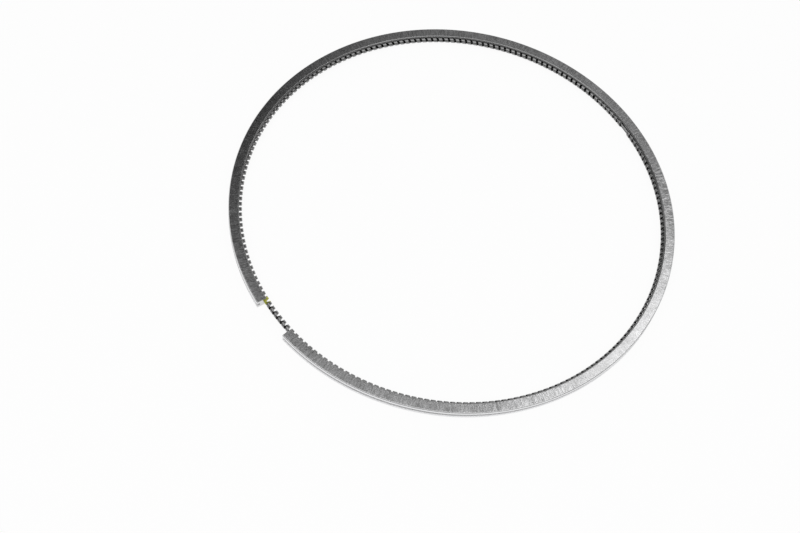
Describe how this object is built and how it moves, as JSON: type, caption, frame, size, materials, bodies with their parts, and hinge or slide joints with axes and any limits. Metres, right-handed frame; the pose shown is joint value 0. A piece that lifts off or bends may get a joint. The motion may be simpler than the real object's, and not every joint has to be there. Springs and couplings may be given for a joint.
{
  "type": "piston ring",
  "caption": "Split oil-control piston ring with two running lands, an oil channel with drain slots, and a coil-spring expander seated in its inner groove.",
  "frame": {"origin": "on the ring's axis, in the plane of the lower side face", "axes": "+Z along the ring's axis, upwards; the gap lies between -X and -Y, at 225 degrees from +X"},
  "size_m": [0.1342, 0.1342, 0.003],
  "materials": {
    "ring_iron": "side faces ground and lapped, lands plated bright",
    "spring_steel": "oil-blackened flat spring wire",
    "latch_steel": "plain drawn wire"
  },
  "bodies": {
    "root": {"ring_body": "ring_iron", "coil_expander": "spring_steel", "latch_wire": "latch_steel"}
  },
  "joints": []
}
